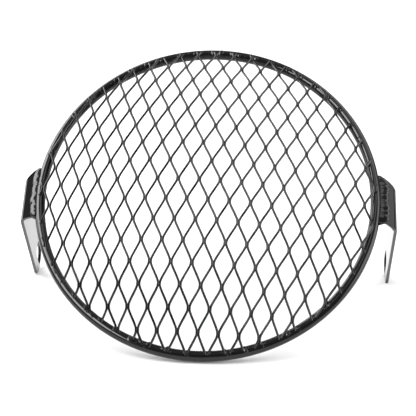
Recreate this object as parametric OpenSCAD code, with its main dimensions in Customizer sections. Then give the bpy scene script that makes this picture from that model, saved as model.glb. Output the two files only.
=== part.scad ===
// Headlight guard for a round motorcycle lamp: a ring of round bar, a domed
// expanded-metal mesh welded to the ring's crest, and two bent side brackets.

/* [Ring] */
// Outer diameter of the ring
ring_od = 170.5; // [150:0.5:200]
// Diameter of the round bar that the ring is bent from
bar_d = 5; // [4.5:0.5:8]

/* [Mesh] */
// Height of the dome above the ring's crest
dome_h = 20.5; // [10:0.5:30]
// Thickness of the mesh sheet
sheet_t = 1; // [0.8:0.1:2.5]
// Short way of a diamond, from node to node
short_way = 9.9; // [7:0.1:16]
// Long way of a diamond, from node to node
long_way = 20.3; // [15:0.1:32]
// Width of a strand
strand_w = 1; // [0.8:0.1:2.2]
// Width across a bond, where two strands were never slit apart
bond_w = 1.9; // [1.5:0.1:3.5]
// Turn of the mesh in the ring, in degrees
mesh_turn = -2.7; // [-12:0.1:12]
// Sideways place of the diamond nearest the ring's centre
mesh_x = 2.9; // [-5:0.1:5]
// Upward place of the diamond nearest the ring's centre
mesh_y = -2.7; // [-10:0.1:10]
// Clear length between a strand's sheared end and the crest of the bar
strand_gap = 1.2; // [0.6:0.1:2]

/* [Brackets] */
// Thickness of the bracket plate
plate_t = 1.6; // [1.2:0.1:4]
// Gap between the ring and the inner face of the left leg, across the flange
left_out = 5.6; // [4:0.1:15]
// Gap between the ring and the inner face of the right leg, across the flange
right_out = 6.4; // [4:0.1:15]
// Inner radius of the bend
bend_r = 4.5; // [1.5:0.5:5.5]
// Width of a leg
leg_w = 22; // [16:0.5:35]
// Height of the left flange's lower edge below the ring's centre
left_drop = 14.4; // [10:0.1:20]
// Height of the right flange's lower edge below the ring's centre
right_drop = 15.6; // [10:0.1:20]
// Extra height of the flange over the leg, where it meets the ring
ear_h = 6; // [1:0.5:10]
// Distance from the middle of the ring's bar to the middle of the slot
slot_reach = 68; // [45:0.5:100]
// Width of the bolt slot
slot_w = 9; // [6:0.5:12]
// Length of the bolt slot, end to end
slot_l = 18; // [13:0.5:26]
// Metal between the end of the slot and the round end of the leg
end_wall = 1.75; // [1.5:0.25:5]
// Outward lean of the left leg, in degrees
left_lean = 5.2; // [0:0.1:10]
// Outward lean of the right leg, in degrees
right_lean = 1.9; // [0:0.1:10]

/* [Welds] */
// Diameter of the weld nugget on the end of each strand
nugget_d = 3.4; // [2.6:0.1:4.2]
// Diameter of the weld bead between a bracket and the ring
bead_d = 4; // [3:0.1:5]
// Number of ripples in one bead
ripples = 9; // [6:1:12]

/* [Hidden] */
black = [0.07, 0.07, 0.075];
weld_black = [0.13, 0.13, 0.13];

bar_r = bar_d / 2;
ring_r = ring_od / 2 - bar_r;

// Where the sheared ends of the strands stop, just inside the bar's crest
mesh_r = ring_r - strand_gap;
// The dome is part of a sphere whose rim rests over the crest of the bar
dome_r = (ring_r * ring_r + dome_h * dome_h) / (2 * dome_h);
dome_z = bar_r + sheet_t / 2 + dome_h - dome_r;

// One diamond: half its diagonals, and how far its sides stand in from the lattice lines
half_short = short_way / 2;
half_long = long_way / 2;
lattice_side = norm([half_short, half_long]);
line_pitch = short_way * half_long / lattice_side;
hole_scale = 1 - strand_w / line_pitch;
hole_x = half_short - bond_w / 2;
hole_y = half_long * hole_scale;
bond_y = max(0.1, half_long * (hole_scale - hole_x / half_short));
columns = ceil(ring_od / short_way) + 2;
rows = ceil(ring_od / long_way) * 2 + 2;

// The bend of a bracket: the flange lies across the bar's middle and the leg runs back from it
bend_ro = bend_r + plate_t;
bend_z = plate_t / 2 - bend_ro;
// Radius of the leg's round end, a little over half its width so that its corners stay crisp
end_r = 0.54 * leg_w;
// Flat strips that make up the bend
bend_steps = 12;
// Longer than anything that is cut
cut = 200;

// The part is modelled flat with its front up, then stood on edge
module stand_up() {
    rotate([90, 0, 0]) children();
}

module ring_bar() {
    rotate_extrude($fn = 180) translate([ring_r, 0]) circle(d = bar_d, $fn = 48);
}

// The open part of one diamond, with its corners cut back where strands join in a bond
module diamond() {
    polygon([
        [0, hole_y], [-hole_x, bond_y], [-hole_x, -bond_y],
        [0, -hole_y], [hole_x, -bond_y], [hole_x, bond_y]
    ]);
}

module mesh_pattern() {
    difference() {
        circle(r = mesh_r, $fn = 180);
        rotate(mesh_turn) for (i = [-columns:columns], j = [-rows:rows]) {
            x = mesh_x + i * half_short;
            y = mesh_y + j * half_long;
            if ((i + j) % 2 == 0 && norm([x, y]) < mesh_r + half_long) translate([x, y]) diamond();
        }
    }
}

module dome_shell() {
    translate([0, 0, dome_z]) difference() {
        sphere(r = dome_r + sheet_t / 2, $fn = 180);
        sphere(r = dome_r - sheet_t / 2, $fn = 180);
    }
}

module mesh_body() {
    intersection() {
        dome_shell();
        linear_extrude(height = dome_h + 2 * bar_d) mesh_pattern();
    }
}

// Angles at which one family of parallel strands crosses the circle of radius r.
// The lines stand line_pitch apart, and side is 1 for one family and -1 for the other.
function crossing_angles(side, r) =
    let (
        normal = [half_long, side * half_short] / lattice_side,
        first = normal * [mesh_x + half_short, mesh_y],
        turn = mesh_turn + atan2(normal[1], normal[0]),
        count = ceil(r / line_pitch) + 1
    )
    [
        for (k = [-count:count], s = [-1, 1])
            let (c = first + k * line_pitch)
            if (abs(c) < r - strand_w) turn + s * acos(c / r)
    ];

// How far apart two directions are, from 0 to 180 degrees
function turn_between(a, b) = abs(((a - b) % 360 + 540) % 360 - 180);

// One nugget for each strand end; two strands that end side by side share one
nugget_turn = 2 * asin(nugget_d / 2 / mesh_r);
// A nugget's middle lies a little outward of the strand ends and low in the sheet
nugget_out = 0.25 * nugget_d;
nugget_z = bar_r + 0.25 * sheet_t;
rising = crossing_angles(1, mesh_r);
falling = crossing_angles(-1, mesh_r);
nugget_angles = concat(rising, [
    for (b = falling)
        if (min([for (a = rising) turn_between(a, b)]) > nugget_turn) b
]);

module rim_nuggets() {
    for (a = nugget_angles) rotate(a) difference() {
        translate([mesh_r + nugget_out, 0, nugget_z]) sphere(d = nugget_d, $fn = 32);
        cylinder(r = mesh_r, h = cut, center = true, $fn = 180);
        ring_bar();
    }
}

// Points along one side of a bend, seen along it, with the bend's axis at the origin
function bend_arc(r, first, last) = [
    for (i = [0:bend_steps])
        let (a = first + (last - first) * i / bend_steps)
        r * [cos(a), sin(a)]
];

// A bracket seen along its bend: flange, bend and leaning leg in one strip of plate
module strap_profile(flange_l, lean) {
    leg_run = cut * [sin(lean), -cos(lean)];
    outer = bend_arc(bend_ro, 90, lean);
    inner = bend_arc(bend_r, lean, 90);
    polygon(concat(
        [[-flange_l, bend_ro]], outer, [outer[bend_steps] + leg_run],
        [inner[0] + leg_run], inner, [[-flange_l, bend_r]]
    ));
}

module slot_outline() {
    run = (slot_l - slot_w) / 2;
    translate([0, -run]) circle(d = slot_w, $fn = 48);
    translate([0, run]) circle(d = slot_w, $fn = 48);
    square([slot_w, 2 * run], center = true);
}

// What is cut from a leg, seen from outside with the slot's middle at the origin
module leg_waste() {
    slot_outline();
    difference() {
        translate([-leg_w, -cut]) square([2 * leg_w, cut]);
        translate([0, end_r - slot_l / 2 - end_wall]) circle(r = end_r, $fn = 64);
    }
}

// Everything above the leg and outside the sloping shoulder of the flange
module shoulder_waste(ear_x, leg_x, leg_high) {
    translate([0, 0, -cut]) linear_extrude(height = 2 * cut)
        polygon([
            [ear_x, leg_high + ear_h], [leg_x, leg_high], [cut, leg_high],
            [cut, leg_high + 2 * ear_h], [ear_x, leg_high + 2 * ear_h]
        ]);
}

module bracket_body(out, drop, lean) {
    bend_x = ring_od / 2 + out - bend_r;
    leg_high = leg_w - drop;
    difference() {
        translate([bend_x, leg_high + ear_h, bend_z]) rotate([90, 0, 0])
            linear_extrude(height = leg_w + ear_h) strap_profile(bend_x, lean);
        shoulder_waste(ring_od / 2, bend_x + bend_ro, leg_high);
        translate([bend_x, leg_w / 2 - drop, bend_z]) rotate([0, -lean, 0])
            translate([0, 0, -(slot_reach + bend_z)]) rotate([90, 0, 90])
                linear_extrude(height = cut) leg_waste();
        cylinder(r = ring_r, h = cut, center = true, $fn = 180);
        ring_bar();
    }
}

// A bead of overlapping ripples in the groove between the flange and the bar, on both faces
module bracket_beads(out, drop, lean) {
    run = leg_w + ear_h - bead_d;
    low = bead_d / 2 - drop;
    difference() {
        for (face = [-1, 1], i = [0:ripples - 1]) {
            y = low + run * i / (ripples - 1);
            bead_x = sqrt(pow(ring_od / 2, 2) - y * y);
            translate([bead_x, y, face * plate_t / 2]) sphere(d = bead_d, $fn = 32);
        }
        ring_bar();
        bracket_body(out, drop, lean);
    }
}

module ring() color(black) stand_up() ring_bar();
module mesh() color(black) stand_up() mesh_body();
module rim_welds() color(weld_black) stand_up() rim_nuggets();
module right_bracket() color(black) stand_up() bracket_body(right_out, right_drop, right_lean);
module left_bracket() color(black) stand_up() mirror([1, 0, 0]) bracket_body(left_out, left_drop, left_lean);
module right_bracket_welds() color(weld_black) stand_up()
    bracket_beads(right_out, right_drop, right_lean);
module left_bracket_welds() color(weld_black) stand_up() mirror([1, 0, 0])
    bracket_beads(left_out, left_drop, left_lean);

ring();
mesh();
rim_welds();
left_bracket();
right_bracket();
left_bracket_welds();
right_bracket_welds();
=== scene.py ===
# %% [markdown]
# # A motorcycle headlight guard in Geometry Nodes
#
# The real part is one welded and painted piece: a hoop of round steel bar, a dome of expanded metal on its front, and
# a bent bracket with a bolt slot on each side. The exact model gives every size and place here, and this lesson adds
# what exact solids leave out: twisted strands, melted welds, softened edges and thick black enamel.

# %% Start from the exact model
import bmesh
import bpy
import math
import random
from mathutils import Euler, Matrix, Vector


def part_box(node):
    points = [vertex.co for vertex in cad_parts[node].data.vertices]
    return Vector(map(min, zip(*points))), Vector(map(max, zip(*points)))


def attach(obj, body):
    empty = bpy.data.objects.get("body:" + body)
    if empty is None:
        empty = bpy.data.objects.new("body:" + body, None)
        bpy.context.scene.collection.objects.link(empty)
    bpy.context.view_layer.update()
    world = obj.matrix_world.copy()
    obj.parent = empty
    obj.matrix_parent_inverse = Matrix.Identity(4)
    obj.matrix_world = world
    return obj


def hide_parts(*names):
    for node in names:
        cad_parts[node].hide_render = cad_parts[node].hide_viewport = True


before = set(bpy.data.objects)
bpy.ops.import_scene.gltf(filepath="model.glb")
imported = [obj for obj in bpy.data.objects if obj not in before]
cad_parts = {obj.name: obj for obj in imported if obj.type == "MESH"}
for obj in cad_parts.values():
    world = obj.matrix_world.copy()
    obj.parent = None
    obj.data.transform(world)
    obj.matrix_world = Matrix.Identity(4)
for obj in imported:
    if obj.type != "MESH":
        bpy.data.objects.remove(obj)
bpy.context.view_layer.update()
MM = 0.001
for name in sorted(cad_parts):
    low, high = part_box(name)
    print(name, [round(v / MM, 1) for v in (high - low)], "mm")

# %% [markdown]
# ## Sizes
#
# The guard is thought of lying flat, seen from the front: x to the right, y up, z towards the viewer. At the end of
# each step a quarter turn about X stands it on edge as the exact model stands. One set of named sizes in millimetres
# feeds every step, so a change here changes the whole guard.

# %% Name the sizes
RING_OD = 170.5
BAR_D = 5.0
DOME_H = 20.5
SHORT_WAY = 9.9
LONG_WAY = 20.3
MESH_TURN = math.radians(-2.7)
MESH_X = 2.9
MESH_Y = -2.7
BAR_R = BAR_D / 2
RING_R = RING_OD / 2 - BAR_R
SHEET_T = 1.0
DOME_R = (RING_R ** 2 + DOME_H ** 2) / (2 * DOME_H)
DOME_Z = BAR_R + SHEET_T / 2 + DOME_H - DOME_R
QUARTER_TURN = math.radians(90)
STAND_UP = Matrix.Rotation(QUARTER_TURN, 4, "X")
STAND_UP_TURN = Euler((QUARTER_TURN, 0, 0))
print("dome radius", round(DOME_R, 1), "mm")


# %% [markdown]
# ## Two helpers for nodes
#
# Node trees are easiest to read as a chain of small steps. `add` makes one node, sets it and feeds its inputs with
# values or with the sockets of earlier nodes. `run_tree` hangs a tree on an object, sets its inputs by their
# identifiers, and turns the result into a plain mesh, so that nothing live is left on the piece.

# %% Add a node
def add(tree, kind, given=None, **settings):
    made = tree.nodes.new(kind)
    for name, value in settings.items():
        setattr(made, name, value)
    for socket, value in (given or {}).items():
        if isinstance(value, bpy.types.NodeSocket):
            tree.links.new(value, made.inputs[socket])
        else:
            made.inputs[socket].default_value = value
    return made


# %% Make a tree and run it
def new_tree(name, inputs):
    tree = bpy.data.node_groups.new(name, "GeometryNodeTree")
    tree.interface.new_socket("Geometry", in_out="OUTPUT", socket_type="NodeSocketGeometry")
    for label, kind in inputs.items():
        tree.interface.new_socket(label, in_out="INPUT", socket_type="NodeSocket" + kind)
    return tree, add(tree, "NodeGroupInput"), add(tree, "NodeGroupOutput")


def run_tree(tree, name, values, start=None):
    source = bpy.data.objects.new(name + "_source", start or bpy.data.meshes.new(name + "_source"))
    bpy.context.scene.collection.objects.link(source)
    live = source.modifiers.new(tree.name, "NODES")
    live.node_group = tree
    for item in tree.interface.items_tree:
        if item.in_out == "INPUT" and item.name in values:
            live[item.identifier] = values[item.name]
    ready = source.evaluated_get(bpy.context.evaluated_depsgraph_get())
    mesh = bpy.data.meshes.new_from_object(ready)
    source.modifiers.clear()
    bpy.data.objects.remove(source)
    return mesh


def show(name, mesh, *stands_for, slot):
    piece = bpy.data.objects.new(name, mesh)
    bpy.context.scene.collection.objects.link(piece)
    mesh.name = name
    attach(piece, "root")
    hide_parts(*stands_for)
    size = [round(2 * v / MM, 1) for v in (max(abs(c.co[i]) for c in mesh.vertices) for i in range(3))]
    print(name, len(mesh.polygons), "faces, reach", size, "mm")
    return piece


# %% [markdown]
# ## Gloss black enamel
#
# The guard is dipped or sprayed with a thick stoved enamel. Such a paint is a clear, smooth resin with black pigment
# under it, so it has a low IOR, near 1.5, and a sharp reflection, and it pools and ripples a little: painters call
# that orange peel. A colour in the usual hex form is sRGB, and the shader wants it linear, so one function turns it.

# %% Turn a hex colour to linear
def colour(code):
    parts = [int(code[i:i + 2], 16) / 255 for i in (0, 2, 4)]
    return [v / 12.92 if v <= 0.04045 else ((v + 0.055) / 1.055) ** 2.4 for v in parts] + [1.0]


# %% Mix the enamel
ENAMEL_IOR = 1.46


def enamel(name, base, roughness, peel_mm, peel_depth_mm, fleck_mm, fleck_depth_mm):
    paint = bpy.data.materials.new(name)
    paint.use_nodes = True
    tree = paint.node_tree
    shader = tree.nodes["Principled BSDF"]
    shader.inputs["Base Color"].default_value = colour(base)
    shader.inputs["Roughness"].default_value = roughness
    shader.inputs["IOR"].default_value = ENAMEL_IOR
    place = add(tree, "ShaderNodeTexCoord")
    peel = add(tree, "ShaderNodeTexNoise", {
        "Vector": place.outputs["Object"], "Scale": 1 / (peel_mm * MM), "Detail": 1.0})
    soft = add(tree, "ShaderNodeBump", {
        "Height": peel.outputs["Fac"], "Distance": peel_depth_mm * MM, "Strength": 1.0})
    fleck = add(tree, "ShaderNodeTexNoise", {
        "Vector": place.outputs["Object"], "Scale": 1 / (fleck_mm * MM), "Detail": 2.0})
    grain = add(tree, "ShaderNodeBump", {
        "Height": fleck.outputs["Fac"], "Distance": fleck_depth_mm * MM, "Strength": 1.0,
        "Normal": soft.outputs["Normal"]})
    tree.links.new(grain.outputs["Normal"], shader.inputs["Normal"])
    return paint


black_enamel = enamel("gloss_black_stoved_enamel", "050506", roughness=0.06, peel_mm=7.0, peel_depth_mm=0.05,
                      fleck_mm=1.5, fleck_depth_mm=0.004)
weld_enamel = enamel("black_enamel_over_weld", "080808", roughness=0.15, peel_mm=3.0, peel_depth_mm=0.05,
                     fleck_mm=0.9, fleck_depth_mm=0.005)
print("paints", black_enamel.name, weld_enamel.name)

# %% [markdown]
# ## The hoop
#
# The hoop is plain round bar, rolled and butt-welded. A circle swept along a circle gives it, with enough segments
# that its reflections run without facets.

# %% Sweep the hoop
tree, given, result = new_tree("hoop_of_bar", {
    "Ring Radius": "Float", "Bar Radius": "Float", "Paint": "Material"})
STEPS_ROUND_HOOP, STEPS_ROUND_BAR = 256, 32
path = add(tree, "GeometryNodeCurvePrimitiveCircle", {
    "Resolution": STEPS_ROUND_HOOP, "Radius": given.outputs["Ring Radius"]})
section = add(tree, "GeometryNodeCurvePrimitiveCircle", {
    "Resolution": STEPS_ROUND_BAR, "Radius": given.outputs["Bar Radius"]})
swept = add(tree, "GeometryNodeCurveToMesh", {
    "Curve": path.outputs["Curve"], "Profile Curve": section.outputs["Curve"]})
stood = add(tree, "GeometryNodeTransform", {"Geometry": swept.outputs["Mesh"], "Rotation": STAND_UP_TURN})
real = add(tree, "GeometryNodeRealizeInstances", {"Geometry": stood.outputs["Geometry"]})
painted = add(tree, "GeometryNodeSetMaterial", {
    "Geometry": real.outputs["Geometry"], "Material": given.outputs["Paint"]})
tree.links.new(painted.outputs["Geometry"], result.inputs["Geometry"])
hoop = run_tree(tree, "hoop", {"Ring Radius": RING_R * MM, "Bar Radius": BAR_R * MM, "Paint": black_enamel})
hoop.shade_smooth()
show("hoop", hoop, "ring", slot="black_enamel")

# %% [markdown]
# ## The expanded metal
#
# Expanded metal is a sheet that is slit in staggered rows and pulled open. What is left is a set of strips that run
# side by side in zigzags: each touches its left neighbour, then its right one, and where two touch they were never
# slit apart. Pulling turns every strip, so that each joint leans like the slat of a blind. The strips follow one
# rule, so Geometry Nodes make them: straight lines first, then a wave, then the dome, and last a section swept along
# each. Working strip by strip gives the leaning joints for free, which a grid of crossing bars would not.

# %% Name the inputs of the strip tree
tree, given, result = new_tree("expanded_metal", {
    "Short Way": "Float", "Long Way": "Float", "Strand Width": "Float", "Sheet Thickness": "Float",
    "Joint Lean": "Float", "Joint Share": "Float", "Bow": "Float", "Edge Softness": "Float",
    "Centre X": "Float", "Centre Y": "Float", "Turn": "Float",
    "Spread": "Float", "Draw In": "Float", "Sag": "Float", "Skew": "Float",
    "Dome Radius": "Float", "Dome Centre": "Float", "Cut Radius": "Float", "Point Gap": "Float",
    "Paint": "Material"})
STRIPS = 40
ROWS_EACH_WAY = 5.0


def maths(operation, *values):
    return add(tree, "ShaderNodeMath", dict(enumerate(values)), operation=operation).outputs[0]


def vector_maths(operation, *values):
    made = add(tree, "ShaderNodeVectorMath", dict(enumerate(values)), operation=operation)
    return made.outputs["Value" if operation in ("LENGTH", "DOT_PRODUCT") else "Vector"]


size = given.outputs
half_short = maths("MULTIPLY", size["Short Way"], 0.5)
half_long = maths("MULTIPLY", size["Long Way"], 0.5)

# %% Lay straight strips side by side
first_x = maths("MULTIPLY", half_short, -STRIPS / 2)
row = add(tree, "GeometryNodeMeshLine", {
    "Count": STRIPS, "Start Location": add(tree, "ShaderNodeCombineXYZ", {"X": first_x}).outputs[0],
    "Offset": add(tree, "ShaderNodeCombineXYZ", {"X": half_short}).outputs[0]})
number = add(tree, "GeometryNodeCaptureAttribute", {"Geometry": row.outputs[0]}, domain="POINT")
number.capture_items.new("INT", "Strip")
tree.links.new(add(tree, "GeometryNodeInputIndex").outputs[0], number.inputs["Strip"])
reach = maths("MULTIPLY", size["Long Way"], ROWS_EACH_WAY)
line = add(tree, "GeometryNodeCurvePrimitiveLine", {
    "Start": add(tree, "ShaderNodeCombineXYZ", {"Y": maths("MULTIPLY", reach, -1.0)}).outputs[0],
    "End": add(tree, "ShaderNodeCombineXYZ", {"Y": reach}).outputs[0]})
fine = add(tree, "GeometryNodeResampleCurve", {"Curve": line.outputs[0], "Length": size["Point Gap"]}, mode="LENGTH")
laid = add(tree, "GeometryNodeInstanceOnPoints", {"Points": number.outputs[0], "Instance": fine.outputs[0]})
strips = add(tree, "GeometryNodeRealizeInstances", {"Geometry": laid.outputs[0]}).outputs[0]

# %% Bend each strip in a wave from its left neighbour to its right one
KINK_SOFTNESS = 0.25
# Half a strand would make neighbours touch at a joint. A little less sinks them into each other.
JOINT_OVERLAP = 0.44
spot = add(tree, "ShaderNodeSeparateXYZ", {0: add(tree, "GeometryNodeInputPosition").outputs[0]})
phase = maths("ADD", maths("DIVIDE", spot.outputs["Y"], half_long), number.outputs["Strip"])
to_and_fro = maths("SUBTRACT", 1.0, maths("MULTIPLY", 2.0, maths("PINGPONG", phase, 1.0)))
steep = maths("DIVIDE", to_and_fro, maths("SUBTRACT", 1.0, size["Joint Share"]))
kinked = maths("SMOOTH_MAX", maths("SMOOTH_MIN", steep, 1.0, KINK_SOFTNESS), -1.0, KINK_SOFTNESS)
rounded = maths("COSINE", maths("MULTIPLY", phase, math.pi))
wave = maths("ADD", kinked, maths("MULTIPLY", maths("SUBTRACT", rounded, kinked), size["Bow"]))
half_joint = maths("MULTIPLY", size["Strand Width"], JOINT_OVERLAP)
tucked = maths("MULTIPLY", half_joint, maths("COSINE", size["Joint Lean"]))
raised = maths("MULTIPLY", half_joint, maths("SINE", size["Joint Lean"]))
quarter_short = maths("MULTIPLY", half_short, 0.5)
swing = maths("SUBTRACT", quarter_short, tucked)
flat_x = maths("ADD", maths("ADD", spot.outputs["X"], quarter_short), maths("MULTIPLY", wave, swing))
height = maths("MULTIPLY", wave, raised)

# %% Turn the sheet in the hoop and draw it in where the dome pulls on it
PULL_AT_THE_SIDES = 0.25
SPREAD_UPWARD = 0.35
flat = add(tree, "ShaderNodeCombineXYZ", {
    "X": maths("ADD", flat_x, size["Centre X"]), "Y": maths("ADD", spot.outputs["Y"], size["Centre Y"])}).outputs[0]
turned = add(tree, "ShaderNodeVectorRotate", {"Vector": flat, "Angle": size["Turn"]}, rotation_type="Z_AXIS").outputs[0]
even = add(tree, "ShaderNodeSeparateXYZ", {0: turned})
to_side = maths("DIVIDE", even.outputs["X"], size["Cut Radius"])
to_top = maths("DIVIDE", even.outputs["Y"], size["Cut Radius"])
side_square, top_square = maths("POWER", to_side, 2.0), maths("POWER", to_top, 2.0)
taken = maths("MULTIPLY", size["Draw In"], maths(
    "ADD", top_square, maths("MULTIPLY", side_square, PULL_AT_THE_SIDES)))
wide = maths("ADD", 1.0, maths("SUBTRACT", size["Spread"], taken))
high = maths("ADD", 1.0, maths("MULTIPLY", size["Spread"], SPREAD_UPWARD))
skewed = maths("MULTIPLY", size["Skew"], maths("MULTIPLY", to_side, to_top))
shift = maths("SUBTRACT", maths("MULTIPLY", size["Sag"], top_square), skewed)
drawn = add(tree, "ShaderNodeCombineXYZ", {
    "X": maths("MULTIPLY", even.outputs["X"], wide),
    "Y": maths("ADD", maths("MULTIPLY", even.outputs["Y"], high), shift)}).outputs[0]

# %% Press the sheet into the dome
plan = add(tree, "ShaderNodeSeparateXYZ", {0: drawn})
from_axis = vector_maths("LENGTH", drawn)
dome_square = maths("MULTIPLY", size["Dome Radius"], size["Dome Radius"])
square = maths("SUBTRACT", dome_square, maths("MULTIPLY", from_axis, from_axis))
rise = maths("SQRT", maths("MAXIMUM", square, 0.0))
outward = vector_maths("NORMALIZE", add(tree, "ShaderNodeCombineXYZ", {
    "X": plan.outputs["X"], "Y": plan.outputs["Y"], "Z": rise}).outputs[0])
pressed = add(tree, "ShaderNodeVectorMath", {
    0: outward, "Scale": maths("ADD", size["Dome Radius"], height)}, operation="SCALE").outputs["Vector"]
domed = vector_maths("ADD", pressed, add(tree, "ShaderNodeCombineXYZ", {"Z": size["Dome Centre"]}).outputs[0])

# %% Keep what lies inside the hoop, as separate strands where a strip leaves it and comes back
MORE_THAN_POINTS = 1000.0
outside = maths("GREATER_THAN", from_axis, size["Cut Radius"])
owner = add(tree, "GeometryNodeCurveOfPoint").outputs["Curve Index"]
passed = add(tree, "GeometryNodeAccumulateField", {
    "Value": outside, "Group ID": owner}, data_type="INT", domain="POINT")
strand_id = maths("ADD", maths("MULTIPLY", owner, MORE_THAN_POINTS), passed.outputs["Leading"])
noted = add(tree, "GeometryNodeCaptureAttribute", {"Geometry": strips}, domain="POINT")
for label, kind, value in (("Outside", "FLOAT", outside), ("Strand", "INT", strand_id), ("Place", "VECTOR", domed),
                           ("Outward", "VECTOR", outward)):
    noted.capture_items.new(kind, label)
    tree.links.new(value, noted.inputs[label])
moved = add(tree, "GeometryNodeSetPosition", {"Geometry": noted.outputs[0], "Position": noted.outputs["Place"]})
dots = add(tree, "GeometryNodeCurveToPoints", {"Curve": moved.outputs[0]}, mode="EVALUATED")
kept = add(tree, "GeometryNodeDeleteGeometry", {
    "Geometry": dots.outputs["Points"], "Selection": noted.outputs["Outside"]}, domain="POINT")
strands = add(tree, "GeometryNodePointsToCurves", {
    "Points": kept.outputs[0], "Curve Group ID": noted.outputs["Strand"]})
straight = add(tree, "GeometryNodeCurveSplineType", {"Curve": strands.outputs[0]}, spline_type="POLY")

# %% Sweep the leaning section along each strand
across = add(tree, "ShaderNodeVectorRotate", {
    "Vector": (1, 0, 0), "Angle": size["Turn"]}, rotation_type="Z_AXIS").outputs[0]
lean_out = add(tree, "ShaderNodeVectorMath", {
    0: noted.outputs["Outward"], "Scale": maths("COSINE", size["Joint Lean"])}, operation="SCALE").outputs["Vector"]
lean_side = add(tree, "ShaderNodeVectorMath", {
    0: across, "Scale": maths("SINE", size["Joint Lean"])}, operation="SCALE").outputs["Vector"]
face = vector_maths("ADD", lean_out, lean_side)
tangent = add(tree, "GeometryNodeInputTangent").outputs[0]
side = vector_maths("NORMALIZE", vector_maths("CROSS_PRODUCT", face, tangent))
square_on = vector_maths("CROSS_PRODUCT", tangent, side)
aimed = add(tree, "GeometryNodeSetCurveNormal", {"Curve": straight.outputs[0], "Normal": square_on}, mode="FREE")
section = add(tree, "GeometryNodeCurvePrimitiveQuadrilateral", {
    "Width": size["Sheet Thickness"], "Height": size["Strand Width"]})
soft_section = add(tree, "GeometryNodeFilletCurve", {
    "Curve": section.outputs[0], "Count": 2, "Radius": size["Edge Softness"]}, mode="POLY")
swept = add(tree, "GeometryNodeCurveToMesh", {
    "Curve": aimed.outputs[0], "Profile Curve": soft_section.outputs[0], "Fill Caps": True})
stood = add(tree, "GeometryNodeTransform", {"Geometry": swept.outputs["Mesh"], "Rotation": STAND_UP_TURN})
real = add(tree, "GeometryNodeRealizeInstances", {"Geometry": stood.outputs["Geometry"]})
painted = add(tree, "GeometryNodeSetMaterial", {"Geometry": real.outputs["Geometry"], "Material": size["Paint"]})
tree.links.new(painted.outputs["Geometry"], result.inputs["Geometry"])

# %% Run the strip tree
STRAND_W = 1.1
STRAND_T = 0.85
STRAND_EDGE_R = 0.25
JOINT_LEAN = math.radians(36)
JOINT_SHARE = 0.2
BOW = 0.3
# How the real sheet differs from an even one: shares of its size, then millimetres at the hoop
SPREAD, DRAW_IN = 0.016, 0.076
SAG, SKEW = 0.7, 0.5
POINT_GAP = 0.8
# A leaning joint rises above the middle of the sheet, and the dome is lowered by as much
LEAN_RISE = STRAND_W * math.sin(JOINT_LEAN) + STRAND_T * math.cos(JOINT_LEAN) / 2
CUT_R = RING_R + 0.3
strand_mesh = run_tree(tree, "strands", {
    "Short Way": SHORT_WAY * MM, "Long Way": LONG_WAY * MM, "Strand Width": STRAND_W * MM,
    "Sheet Thickness": STRAND_T * MM, "Joint Lean": JOINT_LEAN, "Joint Share": JOINT_SHARE, "Bow": BOW,
    "Edge Softness": STRAND_EDGE_R * MM, "Centre X": MESH_X * MM, "Centre Y": MESH_Y * MM, "Turn": MESH_TURN,
    "Spread": SPREAD, "Draw In": DRAW_IN, "Sag": SAG * MM, "Skew": SKEW * MM,
    "Dome Radius": (DOME_R + SHEET_T / 2 - LEAN_RISE) * MM, "Dome Centre": DOME_Z * MM, "Cut Radius": CUT_R * MM,
    "Point Gap": POINT_GAP * MM, "Paint": black_enamel})
strand_mesh.shade_smooth()
show("expanded_metal", strand_mesh, "mesh", slot="black_enamel")

# %% [markdown]
# ## The brackets
#
# Each bracket is cut from plate, punched with its slot and bent once. The exact model has the right shape with knife
# edges. A real edge is rounded by tumbling and by the paint that pulls back from it, and that roundness is what
# catches the light, so a copy of each bracket gets a small bevel on every sharp edge. The flange's lower edge rises
# a little towards the hoop, as in the photograph. The photograph also shows dark flanges with a narrow glint at the
# bend. Turned corner normals give that look here, flat over the first part of the bend and round near its outer edge.
# They change only the shading: the bend keeps the exact model's radius.

# %% Name each bracket's sizes, in millimetres
BRACKETS = (
    {"side": "left", "sign": -1, "drop": 14.4, "trim": 0.8, "bead_out": -0.2, "drop_w": 2.5, "drop_h": 1.5},
    {"side": "right", "sign": 1, "drop": 15.6, "trim": 3.2, "bead_out": 0.6, "drop_w": 3.4, "drop_h": 1.2})
EDGE_R = 0.3
EDGE_STEPS = 3
SHARP = math.radians(28)
FLAT = math.radians(0.6)
SAME_POINT = 0.002
# The trim of the lower edge is full at the hoop and fades out where the bend starts to turn
BEND_END = 91.0
FLAT_TO, ROUND_FROM = math.radians(40), math.radians(80)


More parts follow.
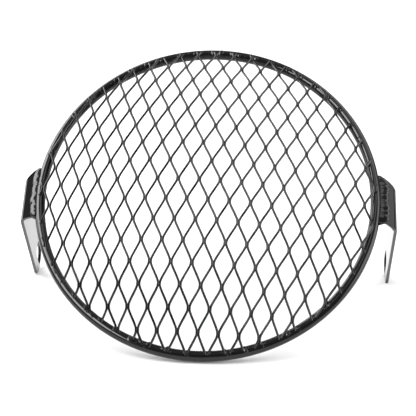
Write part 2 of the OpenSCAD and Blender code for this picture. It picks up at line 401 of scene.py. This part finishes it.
# %% Round the edges of a copy
def soften(name, paint, drop_mm, trim_mm):
    form = bmesh.new()
    form.from_mesh(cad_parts[name].data)
    bmesh.ops.remove_doubles(form, verts=form.verts, dist=SAME_POINT * MM)
    bmesh.ops.dissolve_limit(form, angle_limit=FLAT, verts=form.verts, edges=form.edges)
    for point in form.verts:
        if point.co.z < (0.1 - drop_mm) * MM:
            share = (BEND_END - abs(point.co.x) / MM) / (BEND_END - RING_OD / 2)
            point.co.z += trim_mm * MM * min(1.0, max(0.0, share))
    mesh = bpy.data.meshes.new(name + "_soft")
    form.to_mesh(mesh)
    form.free()
    mesh.materials.clear()
    mesh.materials.append(paint)
    mesh.shade_smooth()
    source = bpy.data.objects.new(name + "_soft", mesh)
    bpy.context.scene.collection.objects.link(source)
    edge = source.modifiers.new("edge", "BEVEL")
    edge.width, edge.segments, edge.limit_method = EDGE_R * MM, EDGE_STEPS, "ANGLE"
    edge.angle_limit, edge.harden_normals = SHARP, True
    flat = source.modifiers.new("flat", "WEIGHTED_NORMAL")
    flat.mode, flat.weight, flat.keep_sharp = "FACE_AREA", 90, True
    ready = source.evaluated_get(bpy.context.evaluated_depsgraph_get())
    soft = bpy.data.meshes.new_from_object(ready)
    source.modifiers.clear()
    bpy.data.objects.remove(source)
    # Turn the normals of the bend's outside, so that it shades like a tighter bend
    ways = [corner.vector.copy() for corner in soft.corner_normals]
    for way in ways:
        across, ahead = abs(way.x), -way.y
        outside = way.x * soft.vertices[0].co.x > 0
        if outside and ahead > 0.001:
            turn = math.atan2(across, ahead)
            share = min(1.0, max(0.0, (turn - FLAT_TO) / (ROUND_FROM - FLAT_TO)))
            held = turn * share * share * (3 - 2 * share)
            level = math.hypot(across, ahead)
            way.x, way.y = math.copysign(level * math.sin(held), way.x), -level * math.cos(held)
    soft.normals_split_custom_set([way.normalized() for way in ways])
    return soft


for bracket in BRACKETS:
    side = bracket["side"]
    plate = soften(side + "_bracket", black_enamel, bracket["drop"], bracket["trim"])
    show(side + "_plate", plate, side + "_bracket", slot="black_enamel")

# %% [markdown]
# ## The welds
#
# Weld metal is laid down as drops that melt into each other, so a bead is a row of overlapping drops and a spot weld
# is one or two with spatter round them. Geometry Nodes put a squashed drop on every point that is handed to them, at
# a size and lean of its own, and a voxel remesh then melts the drops together.

# %% Make the tree for drops
tree, given, result = new_tree("weld_drops", {
    "Geometry": "Geometry", "Drop Length": "Float", "Drop Width": "Float", "Drop Height": "Float",
    "Unevenness": "Float", "Seed": "Int", "Paint": "Material"})
size = given.outputs
drop = add(tree, "GeometryNodeMeshIcoSphere", {"Radius": 1.0, "Subdivisions": 3})
along = add(tree, "GeometryNodeInputNamedAttribute", {"Name": "along"}, data_type="FLOAT_VECTOR")
outward = add(tree, "GeometryNodeInputNamedAttribute", {"Name": "outward"}, data_type="FLOAT_VECTOR")
scale = add(tree, "GeometryNodeInputNamedAttribute", {"Name": "scale"}, data_type="FLOAT")
lying = add(tree, "FunctionNodeAlignRotationToVector", {"Vector": outward.outputs[0]}, axis="Z")
aimed = add(tree, "FunctionNodeAlignRotationToVector", {
    "Rotation": lying.outputs[0], "Vector": along.outputs[0]}, axis="X", pivot_axis="Z")
shape = add(tree, "ShaderNodeCombineXYZ", {"X": size["Drop Length"], "Y": size["Drop Width"], "Z": size["Drop Height"]})
low = add(tree, "ShaderNodeMath", {0: 1.0, 1: size["Unevenness"]}, operation="SUBTRACT")
high = add(tree, "ShaderNodeMath", {0: 1.0, 1: size["Unevenness"]}, operation="ADD")
chance = add(tree, "FunctionNodeRandomValue", {
    "Min": low.outputs[0], "Max": high.outputs[0], "Seed": size["Seed"]}, data_type="FLOAT_VECTOR")
mixed = add(tree, "ShaderNodeVectorMath", {0: shape.outputs[0], 1: chance.outputs[0]}, operation="MULTIPLY")
sized = add(tree, "ShaderNodeVectorMath", {0: mixed.outputs[0], "Scale": scale.outputs[0]}, operation="SCALE")
placed = add(tree, "GeometryNodeInstanceOnPoints", {
    "Points": size["Geometry"], "Instance": drop.outputs[0], "Rotation": aimed.outputs[0], "Scale": sized.outputs[0]})
real = add(tree, "GeometryNodeRealizeInstances", {"Geometry": placed.outputs[0]})
painted = add(tree, "GeometryNodeSetMaterial", {"Geometry": real.outputs[0], "Material": size["Paint"]})
tree.links.new(painted.outputs[0], result.inputs[0])
drops_tree = tree


# %% Melt drops together
CALM_ROUNDS, CALM_SHARE = 4, 0.5


def weld(name, drops, values, voxel_mm):
    """drops: rows of place, along and outward in millimetres, lying flat, and a scale."""
    start = bpy.data.meshes.new(name + "_points")
    start.from_pydata([STAND_UP @ Vector(d[0]) * MM for d in drops], [], [])
    for label, kind, rows in (("along", "FLOAT_VECTOR", [STAND_UP @ Vector(d[1]) for d in drops]),
                              ("outward", "FLOAT_VECTOR", [STAND_UP @ Vector(d[2]) for d in drops]),
                              ("scale", "FLOAT", [d[3] for d in drops])):
        data = start.attributes.new(label, kind, "POINT").data
        for item, value in zip(data, rows):
            setattr(item, "vector" if kind == "FLOAT_VECTOR" else "value", value)
    loose = run_tree(drops_tree, name + "_loose", values, start)
    source = bpy.data.objects.new(name + "_melt", loose)
    bpy.context.scene.collection.objects.link(source)
    melt = source.modifiers.new("melt", "REMESH")
    melt.mode, melt.voxel_size, melt.use_smooth_shade = "VOXEL", voxel_mm * MM, True
    calm = source.modifiers.new("calm", "SMOOTH")
    calm.iterations, calm.factor = CALM_ROUNDS, CALM_SHARE
    ready = source.evaluated_get(bpy.context.evaluated_depsgraph_get())
    mesh = bpy.data.meshes.new_from_object(ready)
    source.modifiers.clear()
    bpy.data.objects.remove(source)
    mesh.materials.clear()
    mesh.materials.append(values["Paint"])
    mesh.shade_smooth()
    return mesh


# %% Find where strands end on the hoop
def strand_ends(radius):
    side_length = math.hypot(SHORT_WAY / 2, LONG_WAY / 2)
    pitch = SHORT_WAY * LONG_WAY / 2 / side_length
    ends = []
    for side in (1, -1):
        normal = (LONG_WAY / 2 / side_length, side * SHORT_WAY / 2 / side_length)
        first = normal[0] * (MESH_X + SHORT_WAY / 2) + normal[1] * MESH_Y
        aim = MESH_TURN + math.atan2(normal[1], normal[0])
        count = math.ceil(radius / pitch) + 1
        for k in range(-count, count + 1):
            away = first + k * pitch
            if abs(away) < radius - STRAND_W:
                for s in (-1, 1):
                    ends.append((aim + s * math.acos(away / radius), aim + math.pi / 2))
    return ends


def on_bar(angle, off_crest):
    """A point on the bar's skin, off_crest degrees outward from its crest, and the way out there."""
    tilt = math.radians(off_crest)
    out = Vector((math.cos(angle) * math.sin(tilt), math.sin(angle) * math.sin(tilt), math.cos(tilt)))
    centre = Vector((math.cos(angle) * RING_R, math.sin(angle) * RING_R, 0))
    return centre + out * BAR_R, out


ends = strand_ends(RING_R)
print(len(ends), "strand ends on the hoop")

# %% Weld each strand end, with spatter on the bar
SPATTER_PER_END = 4
SPATTER_REACH = 0.04  # radians along the hoop
WELD_OFF_CREST, SPATTER_OFF_CREST = (-35, 0), (-60, 30)  # degrees round the bar, inward to outward
WELD_SCALE, SPATTER_SCALE = (0.75, 1.1), (0.15, 0.4)
dice = random.Random(7)
spots = []
for angle, strand_way in ends:
    place, out = on_bar(angle, dice.uniform(*WELD_OFF_CREST))
    way = Vector((math.cos(strand_way), math.sin(strand_way), 0))
    spots.append((place, way, out, dice.uniform(*WELD_SCALE)))
    for _ in range(SPATTER_PER_END):
        place, out = on_bar(angle + dice.uniform(-SPATTER_REACH, SPATTER_REACH), dice.uniform(*SPATTER_OFF_CREST))
        spots.append((place, way, out, dice.uniform(*SPATTER_SCALE)))
spot_mesh = weld("rim_spots", spots, {
    "Drop Length": 1.7 * MM, "Drop Width": 1.1 * MM, "Drop Height": 0.5 * MM, "Unevenness": 0.25, "Seed": 3,
    "Paint": weld_enamel}, voxel_mm=0.2)
show("rim_spots", spot_mesh, "rim_welds", slot="painted_weld")

# %% Lay a rippled bead in each groove between bracket and hoop
PLATE_T = 1.6
LEG_W = 22.0
EAR_H = 6.0
DROPS_PER_BEAD = 15
LOW_END = 2.2
# The bead stops short of the flange's upper corner by this many of its drops' half widths
HIGH_END = 2.1
SUNK = 0.1
ALONG_JITTER, ACROSS_JITTER = 0.3, 0.2
for bracket in BRACKETS:
    side, sign = bracket["side"], bracket["sign"]
    dice = random.Random(11 + sign)
    low_y = LOW_END - bracket["drop"] + bracket["trim"]
    run = LEG_W + EAR_H - HIGH_END * bracket["drop_w"] - bracket["trim"]
    bead = []
    for face in (-1, 1):
        for i in range(DROPS_PER_BEAD):
            y = low_y + run * i / (DROPS_PER_BEAD - 1) + dice.uniform(-ALONG_JITTER, ALONG_JITTER)
            angle = math.asin(y / (RING_OD / 2))
            r = RING_OD / 2 + bracket["bead_out"] + dice.uniform(-ACROSS_JITTER, ACROSS_JITTER)
            place = Vector((sign * r * math.cos(angle), r * math.sin(angle), face * (PLATE_T / 2 - SUNK)))
            way = Vector((-sign * math.sin(angle), math.cos(angle), 0))
            bead.append((place, way, Vector((0, 0, face)), dice.uniform(0.9, 1.1)))
    bead_mesh = weld(side + "_bead", bead, {
        "Drop Length": 3.2 * MM, "Drop Width": bracket["drop_w"] * MM, "Drop Height": bracket["drop_h"] * MM,
        "Unevenness": 0.08, "Seed": 5, "Paint": weld_enamel}, voxel_mm=0.25)
    show(side + "_bead", bead_mesh, side + "_bracket_welds", slot="painted_weld")

# %% [markdown]
# ## Studio
#
# The guard was photographed on white paper, lying back on the ends of its legs, so the floor here is a plane that
# touches the hoop's lower edge and both leg ends. It shows only from its upper side, so that views from behind are
# clear. Two soft boxes and a wide glow from the ceiling light the paper and cast the soft shadows; they stay out of
# reflections, which have their own walls below.

# %% Lay the floor
UP = Vector((0, -1, 1)).normalized()
BACK = Vector((0, 1, 1)).normalized()
FLOOR_LEVEL = -61.3 * MM
FLOOR_REACH = 6.0
paper = bpy.data.materials.new("white_paper")
paper.use_nodes = True
tree = paper.node_tree
sheet = tree.nodes["Principled BSDF"]
sheet.inputs["Base Color"].default_value = colour("FFFFFF")
sheet.inputs["Roughness"].default_value = 1.0
sheet.inputs["Specular IOR Level"].default_value = 0.0
seen_from = add(tree, "ShaderNodeNewGeometry")
clear = add(tree, "ShaderNodeBsdfTransparent")
one_sided = add(tree, "ShaderNodeMixShader", {
    0: seen_from.outputs["Backfacing"], 1: sheet.outputs["BSDF"], 2: clear.outputs["BSDF"]})
tree.links.new(one_sided.outputs["Shader"], tree.nodes["Material Output"].inputs["Surface"])
floor_mesh = bpy.data.meshes.new("floor")
middle = UP * FLOOR_LEVEL
corners = [middle + (Vector((x, 0, 0)) + BACK * b) * FLOOR_REACH for x, b in ((-1, -1), (1, -1), (1, 1), (-1, 1))]
floor_mesh.from_pydata(corners, [], [(0, 1, 2, 3)])
floor_mesh.materials.append(paper)
floor = bpy.data.objects.new("floor", floor_mesh)
bpy.context.scene.collection.objects.link(floor)
print("floor faces", [round(v, 2) for v in floor_mesh.polygons[0].normal])


# %% Hang the lamps
LEFT = Vector((-1, 0, 0))


def aim(thing, place, at=Vector((0, 0, 0))):
    thing.rotation_mode = "QUATERNION"
    thing.location = place
    thing.rotation_quaternion = (at - place).to_track_quat("-Z", "Y")


def soft_box(name, place, width, height, glow):
    lamp = bpy.data.lights.new(name, "AREA")
    lamp.shape, lamp.size, lamp.size_y = "RECTANGLE", width, height
    lamp.energy = glow * math.pi * width * height
    hung = bpy.data.objects.new(name, lamp)
    bpy.context.scene.collection.objects.link(hung)
    aim(hung, place)
    hung.visible_glossy = False


soft_box("left_soft_box", LEFT * 0.58 + UP * 0.50 - BACK * 0.05, width=0.34, height=0.42, glow=6.0)
soft_box("right_soft_box", LEFT * -0.62 + UP * 0.58 - BACK * 0.10, width=0.30, height=0.30, glow=1.8)
sky = bpy.data.lights.new("ceiling_glow", "SUN")
sky.energy, sky.angle = 0.9, math.radians(70)
sky_lamp = bpy.data.objects.new("ceiling_glow", sky)
bpy.context.scene.collection.objects.link(sky_lamp)
aim(sky_lamp, UP * 1.0)
sky_lamp.visible_glossy = False

# %% [markdown]
# Gloss black shows what stands round it, so the walls of the tent matter more than the lamps. Each wall is a curved
# panel at a fixed distance, from one bearing to another and from one height to another, both in degrees. Bearings
# start at the camera's side and grow to the left. The panels show only in reflections.

# %% Stand the lit walls of the tent
WALL_DISTANCE = 1.4
ACROSS_STEPS, UP_STEPS = 24, 8


def wall(name, bearings, heights, glow):
    rows = []
    for j in range(UP_STEPS + 1):
        high = math.radians(heights[0] + (heights[1] - heights[0]) * j / UP_STEPS)
        for i in range(ACROSS_STEPS + 1):
            side = math.radians(bearings[0] + (bearings[1] - bearings[0]) * i / ACROSS_STEPS)
            level_way = LEFT * math.sin(side) - BACK * math.cos(side)
            rows.append((level_way * math.cos(high) + UP * math.sin(high)) * WALL_DISTANCE)
    wide = ACROSS_STEPS + 1
    faces = [(j * wide + i, j * wide + i + 1, (j + 1) * wide + i + 1, (j + 1) * wide + i)
             for j in range(UP_STEPS) for i in range(ACROSS_STEPS)]
    lit = bpy.data.materials.new(name + "_glow")
    lit.use_nodes = True
    shader = lit.node_tree.nodes["Principled BSDF"]
    shader.inputs["Base Color"].default_value = colour("000000")
    shader.inputs["Emission Color"].default_value = colour("FFFFFF")
    shader.inputs["Emission Strength"].default_value = glow
    mesh = bpy.data.meshes.new(name)
    mesh.from_pydata(rows, [], faces)
    mesh.materials.append(lit)
    panel = bpy.data.objects.new(name, mesh)
    bpy.context.scene.collection.objects.link(panel)
    panel.visible_camera = panel.visible_diffuse = panel.visible_shadow = panel.visible_transmission = False


wall("left_wall", bearings=(24, 114), heights=(26, 58), glow=9.5)
wall("left_back", bearings=(114, 156), heights=(8, 56), glow=4.0)
wall("left_skirt", bearings=(88, 114), heights=(4, 26), glow=4.5)
wall("right_wall", bearings=(-105, -60), heights=(0, 34), glow=3.5)
wall("right_back", bearings=(-150, -76), heights=(34, 64), glow=2.6)
wall("ceiling_lamp", bearings=(-60, -4), heights=(63, 80), glow=2.2)
wall("dim_room", bearings=(-60, 22), heights=(4, 62), glow=0.2)

# %% Fill the room: white paper light, and a dimmer grey where the paint mirrors no wall
ROOM_GLOW, MIRRORED_GLOW = 1.0, 0.5
world = bpy.data.worlds.new("white_studio")
bpy.context.scene.world = world
world.use_nodes = True
tree = world.node_tree
rays = add(tree, "ShaderNodeLightPath")
level = add(tree, "ShaderNodeMix", {
    0: rays.outputs["Is Glossy Ray"], 2: ROOM_GLOW, 3: MIRRORED_GLOW}, data_type="FLOAT")
tree.nodes["Background"].inputs["Color"].default_value = colour("FFFFFF")
tree.links.new(level.outputs[0], tree.nodes["Background"].inputs["Strength"])

# %% [markdown]
# ## Camera
#
# The camera was found from the photograph: the outline of the hoop, the openings of the mesh and the ends of the legs
# give its place, its way and its lens.

# %% Set the camera
FOCAL_PX, PICTURE_PX, SENSOR_MM = 1083.98, 416, 36.0
CAMERA_PLACE = (0.03554, -0.47840, -0.23781)
camera_data = bpy.data.cameras.new("product_camera")
camera = bpy.data.objects.new("product_camera", camera_data)
bpy.context.scene.collection.objects.link(camera)
bpy.context.scene.camera = camera
right, up, fwd = Vector((0.9977, 0.0508, 0.0442)), Vector((-0.0177, -0.4358, 0.8999)), Vector((-0.0650, 0.8986, 0.4340))
turn = Matrix((right, up, -fwd)).transposed().to_4x4()
camera.matrix_world = Matrix.Translation(CAMERA_PLACE) @ turn
camera_data.sensor_width = SENSOR_MM
camera_data.lens = SENSOR_MM * FOCAL_PX / PICTURE_PX
camera_data.clip_start = 0.01
bpy.context.scene.view_settings.view_transform = "Standard"
